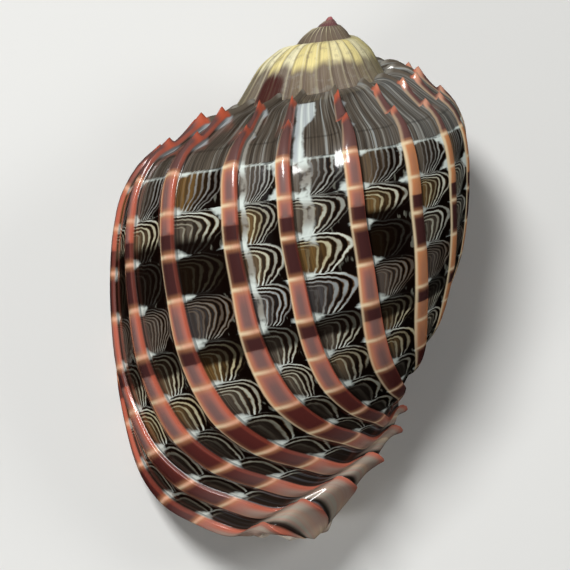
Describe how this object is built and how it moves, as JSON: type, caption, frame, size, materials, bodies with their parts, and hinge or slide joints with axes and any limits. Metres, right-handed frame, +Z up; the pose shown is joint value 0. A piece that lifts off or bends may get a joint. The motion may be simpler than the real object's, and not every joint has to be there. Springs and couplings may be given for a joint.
{
  "type": "harp shell",
  "caption": "Dextral sea snail shell with a short spire, raised axial ribs with pointed shoulder spines, and a wide open aperture under its back.",
  "frame": {"origin": "centre of the bounding box's base, on the surface that the shell lies on", "axes": "+Z up out of the shell's ribbed back, +Y towards the apex, +X to the right in the picture; the shell lies on its aperture"},
  "size_m": [0.0542, 0.0786, 0.0433],
  "materials": {
    "shell": "glossy natural shell, banded brown, salmon and cream"
  },
  "bodies": {
    "root": {"shell": "shell"}
  },
  "joints": []
}
